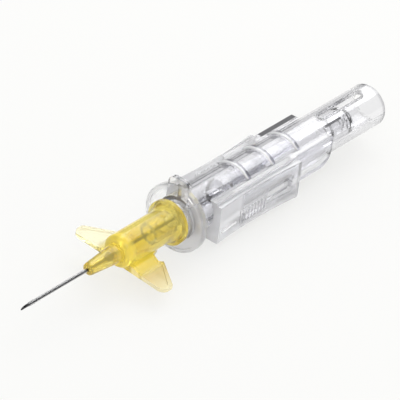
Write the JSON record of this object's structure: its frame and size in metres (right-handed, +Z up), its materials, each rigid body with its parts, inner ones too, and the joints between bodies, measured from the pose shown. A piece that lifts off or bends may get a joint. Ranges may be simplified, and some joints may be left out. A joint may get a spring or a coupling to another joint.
{
  "type": "iv cannula",
  "caption": "Winged intravenous cannula on a steel introducer needle, with a clear ribbed needle housing and a tubular guard that slides over the point.",
  "frame": {"origin": "on the needle axis, at the centre of the rear face of the catheter hub, where its female taper opens", "axes": "+X along the needle axis towards the needle point, +Z up towards the push-off tab"},
  "size_m": [0.0885, 0.0192, 0.0134],
  "materials": {
    "catheter_tube": "soft translucent tube",
    "ferrule_steel": "drawn steel",
    "hub_yellow": "translucent yellow moulding",
    "needle_steel": "polished steel",
    "guard_clear": "clear glossy moulding",
    "housing_clear": "clear glossy moulding",
    "chamber_clear": "clear glossy moulding",
    "plug_plastic": "translucent moulding",
    "filter_white": "porous white"
  },
  "bodies": {
    "housing": {"needle_housing": "housing_clear", "needle_hub": "chamber_clear", "introducer_needle": "needle_steel", "vent_plug": "plug_plastic", "vent_filter": "filter_white"},
    "guard": {"needle_guard": "guard_clear"},
    "catheter": {"catheter_hub": "hub_yellow", "catheter_tube": "catheter_tube", "catheter_ferrule": "ferrule_steel"}
  },
  "joints": [
    {"name": "guard_slide", "type": "slide", "parent": "housing", "child": "guard", "axis": [1, 0, 0], "range_m": [0, 0.0321]},
    {"name": "catheter_slide", "type": "slide", "parent": "guard", "child": "catheter", "axis": [1, 0, 0], "range_m": [0, 0.038]}
  ]
}
